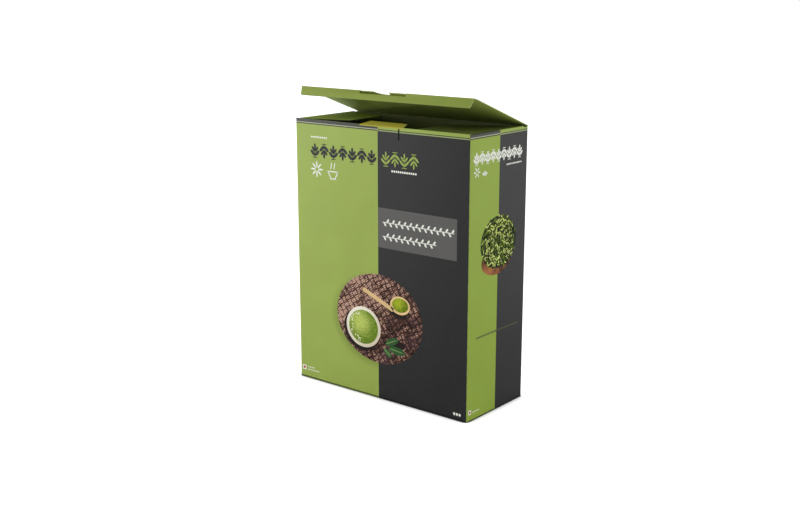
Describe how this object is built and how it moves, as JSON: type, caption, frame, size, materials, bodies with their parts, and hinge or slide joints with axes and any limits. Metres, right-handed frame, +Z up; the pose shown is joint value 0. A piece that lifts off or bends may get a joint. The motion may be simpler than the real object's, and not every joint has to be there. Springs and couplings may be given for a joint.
{
  "type": "open folding tea carton",
  "caption": "Upright paperboard tea carton with a hinged lid raised a little, a slotted tuck flap, a locking tab and two dust flaps.",
  "frame": {"origin": "middle of the base, on the table", "axes": "+Z up, +X to the right along the front, +Y to the back, where the lid is hinged"},
  "size_m": [0.15, 0.066, 0.2119],
  "materials": {
    "printed_board": "satin printed",
    "green_board": "satin printed",
    "mustard_board": "satin printed"
  },
  "bodies": {
    "carton": {"carton_body": "printed_board"},
    "lid": {"lid_panel": "green_board"},
    "tuck": {"tuck_flap": "green_board"},
    "tab": {"lock_tab": "mustard_board"},
    "flap_left": {"dust_flap_left": "green_board"},
    "flap_right": {"dust_flap_right": "green_board"}
  },
  "joints": [
    {"name": "lid_hinge", "type": "hinge", "parent": "carton", "child": "lid", "pos_m": [0, 0.0327, 0.1897], "axis": [-1, 0, 0], "range_deg": [-12.5, 160]},
    {"name": "tuck_fold", "type": "hinge", "parent": "lid", "child": "tuck", "pos_m": [0, -0.02735, 0.21156], "axis": [-1, 0, 0], "range_deg": [-14, 85]},
    {"name": "tab_fold", "type": "hinge", "parent": "carton", "child": "tab", "pos_m": [0, -0.0327, 0.1897], "axis": [1, 0, 0], "range_deg": [-26, 169]},
    {"name": "flap_left_fold", "type": "hinge", "parent": "carton", "child": "flap_left", "pos_m": [-0.0747, 0, 0.1894], "axis": [0, -1, 0], "range_deg": [-8, 97]},
    {"name": "flap_right_fold", "type": "hinge", "parent": "carton", "child": "flap_right", "pos_m": [0.0747, 0, 0.1894], "axis": [0, 1, 0], "range_deg": [-8, 97]}
  ],
  "couplings": [
    {"joint": "flap_left_fold", "follows": "lid_hinge", "ratio": 0.6},
    {"joint": "flap_right_fold", "follows": "lid_hinge", "ratio": 0.6}
  ]
}
